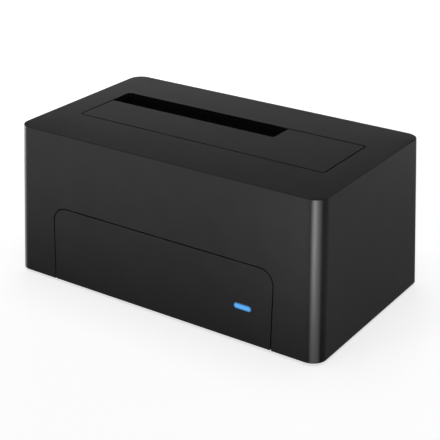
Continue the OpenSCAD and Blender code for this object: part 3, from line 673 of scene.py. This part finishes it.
def flap_spring(side):
    """Torsion spring: a fixed leg, a coil round the hinge pin and a leg under the flap. Side is -1 or 1."""
    hand = "right" if side > 0 else "left"
    node = "flap_spring_" + hand
    lo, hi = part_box(node)
    near = min(abs(lo.x), abs(hi.x)) + WIRE_R
    far = max(abs(lo.x), abs(hi.x)) - WIRE_R
    bm = bmesh.new()
    foot = HINGE + Vector((near, -COIL_R, -FIXED_LEG))
    bmesh.ops.create_circle(bm, segments=WIRE_SIDES, radius=WIRE_R, matrix=Matrix.Translation(foot))
    leg = bmesh.ops.extrude_edge_only(bm, edges=bm.edges[:])["geom"]
    bmesh.ops.translate(bm, verts=only(bmesh.types.BMVert, leg), vec=(0, 0, FIXED_LEG))
    ring = [g for g in leg if not isinstance(g, bmesh.types.BMFace) and at_height(g, HINGE.z)]
    steps = round(COIL_TURNS * COIL_STEPS_PER_TURN)
    coil = bmesh.ops.spin(bm, geom=ring, cent=HINGE, axis=(-1, 0, 0), dvec=((far - near) / steps, 0, 0),
                          angle=COIL_TURNS * 2 * math.pi, steps=steps, use_merge=False)
    last = only(bmesh.types.BMEdge, coil["geom_last"])
    tip = bmesh.ops.extrude_edge_only(bm, edges=last)["geom"]
    bmesh.ops.translate(bm, verts=only(bmesh.types.BMVert, tip), vec=(0, MOVING_LEG, MOVING_LEG_RISE))
    bmesh.ops.holes_fill(bm, edges=bm.edges[:], sides=0)
    bmesh.ops.scale(bm, vec=(side, 1, 1), verts=bm.verts[:])
    bmesh.ops.recalc_face_normals(bm, faces=bm.faces[:])
    obj = dressed(bm, "spring_" + hand, None, "screw_steel", [node], edge=0)
    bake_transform(obj)


def rubber_foot(bm, x, y):
    """Round foot with an eased lower edge and a dished sole."""
    ease = [(FOOT_R - FOOT_EASE + FOOT_EASE * math.sin(a), FOOT_EASE - FOOT_EASE * math.cos(a))
            for a in map(math.radians, FOOT_EASE_TURNS)]
    profile = [(0, FOOT_DISH), (FOOT_DISH_R, FOOT_DISH), (FOOT_DISH_R + FOOT_DISH, 0), *ease,
               (FOOT_R, FOOT_HI.z), (0, FOOT_HI.z)]
    verts = [bm.verts.new((x + r, y, z)) for r, z in profile]
    edges = [bm.edges.new(pair) for pair in zip(verts, verts[1:])]
    bmesh.ops.spin(bm, geom=verts + edges, cent=(x, y, 0), axis=UP, angle=2 * math.pi, steps=FOOT_STEPS,
                   use_merge=True)


def rubber_feet():
    """Four feet in one piece, as in their node."""
    bm = bmesh.new()
    for x in (FOOT_LO.x + FOOT_R, FOOT_HI.x - FOOT_R):
        for y in (FOOT_LO.y + FOOT_R, FOOT_HI.y - FOOT_R):
            rubber_foot(bm, x, y)
    bmesh.ops.remove_doubles(bm, verts=bm.verts[:], dist=MERGE)
    bmesh.ops.recalc_face_normals(bm, faces=bm.faces[:])
    dressed(bm, "round_feet", "dock", "foot_rubber", ["rubber_feet"], edge=0)


def lay_on_rocker(bm, verts, side):
    """Moves a flat mark onto the left (-1) or right (1) half of the rocker's dished face."""
    rise = math.atan2(ROCKER_END - ROCKER_DIP, ROCKER_HALF)
    half_face = Vector((side * ROCKER_HALF / 2, (ROCKER_END + ROCKER_DIP) / 2, 0))
    place_on_half = Matrix.Translation(half_face) @ Matrix.Rotation(side * rise, 4, "Z")
    upright = Matrix.Rotation(-math.pi / 2, 4, "X")
    at_rest = Matrix.Translation(ROCKER_PIVOT) @ Matrix.Rotation(ROCKER_LEAN, 4, "Z")
    bmesh.ops.transform(bm, matrix=at_rest @ place_on_half @ upright, verts=verts)


def rocker_marks():
    """Printed bar for on and ring for off."""
    bm = bmesh.new()
    bar_verts = plate(bm, MARK_STROKE, MARK_H, MARK_EASE, MARK_EASE_STEPS).verts[:]
    ring = disc(bm, MARK_H / 2, JACK_STEPS)
    bmesh.ops.inset_individual(bm, faces=[ring], thickness=MARK_STROKE, depth=0)
    bmesh.ops.delete(bm, geom=[ring], context="FACES_ONLY")
    bmesh.ops.recalc_face_normals(bm, faces=bm.faces[:])
    ring_verts = [vert for vert in bm.verts if vert not in bar_verts]
    lay_on_rocker(bm, bar_verts, -1)
    lay_on_rocker(bm, ring_verts, 1)
    bm.normal_update()
    for face in bm.faces:
        if face.normal.y < 0:
            face.normal_flip()
    bmesh.ops.solidify(bm, geom=bm.faces[:], thickness=-MARK_T)
    bmesh.ops.recalc_face_normals(bm, faces=bm.faces[:])
    dressed(bm, "rocker_marks", "rocker", "mark_print", [], edge=0)


# Pieces whose frame shape only needs eased edges: name, node, body, finish, width of the ease
EASED = [
    ("flap_door", "dust_flap", "flap", "shell_plastic", FINE_EDGE),
    ("arched_panel", "front_panel", "dock", "panel_plastic", 0.25 * MM),
    ("indicator_window", "light_pipe", "dock", "light_window", FINE_EDGE),
    ("bottom_plate", "base_plate", "dock", "inner_plastic", 0.2 * MM),
    ("drive_chute", "bay_frame", "dock", "inner_plastic", 0.2 * MM),
    ("drive_socket", "sata_receptacle", "dock", "connector_plastic", 0.15 * MM),
    ("power_socket", "dc_jack", "dock", "connector_plastic", 0.2 * MM),
    ("data_socket_shell", "usb_shell", "dock", "bright_can", 0.12 * MM),
    ("data_socket_tongue", "usb_tongue", "dock", "blue_plastic", 0.12 * MM),
    ("switch_housing", "switch_body", "dock", "connector_plastic", 0.2 * MM),
    ("switch_rocker", "power_rocker", "rocker", "connector_plastic", 0.2 * MM),
]

# Frame nodes that stay, with their finishes
KEPT = {
    "base_screws": "screw_steel", "bay_screws": "screw_steel", "board_screws": "screw_steel",
    "hinge_pin": "screw_steel", "main_board": "circuit_board", "sata_contacts": "gold_contact",
    "bridge_chip": "connector_plastic", "bridge_leads": "bright_can", "memory_chip": "connector_plastic",
    "crystal_can": "bright_can", "inductors": "ferrite", "capacitors": "bright_can",
    "led_holder": "connector_plastic", "status_led": "light_window", "dc_pin": "bright_can",
    "usb_contacts": "gold_contact",
}

bpy.context.scene.view_settings.view_transform = "Standard"
add_camera()
for lamp_values in LAMPS:
    add_lamp(*lamp_values)
add_world()
add_floor()

casing()
for eased_name, eased_node, eased_body, eased_slot, eased_width in EASED:
    dressed(merged_copy(eased_node), eased_name, eased_body, eased_slot, [eased_node], eased_width)
for spring_side in (-1, 1):
    flap_spring(spring_side)
rubber_feet()
rocker_marks()
for kept_node, kept_slot in KEPT.items():
    kept = frame["nodes"][kept_node]
    kept.data.materials.clear()
    kept.data.materials.append(FINISHES[kept_slot])
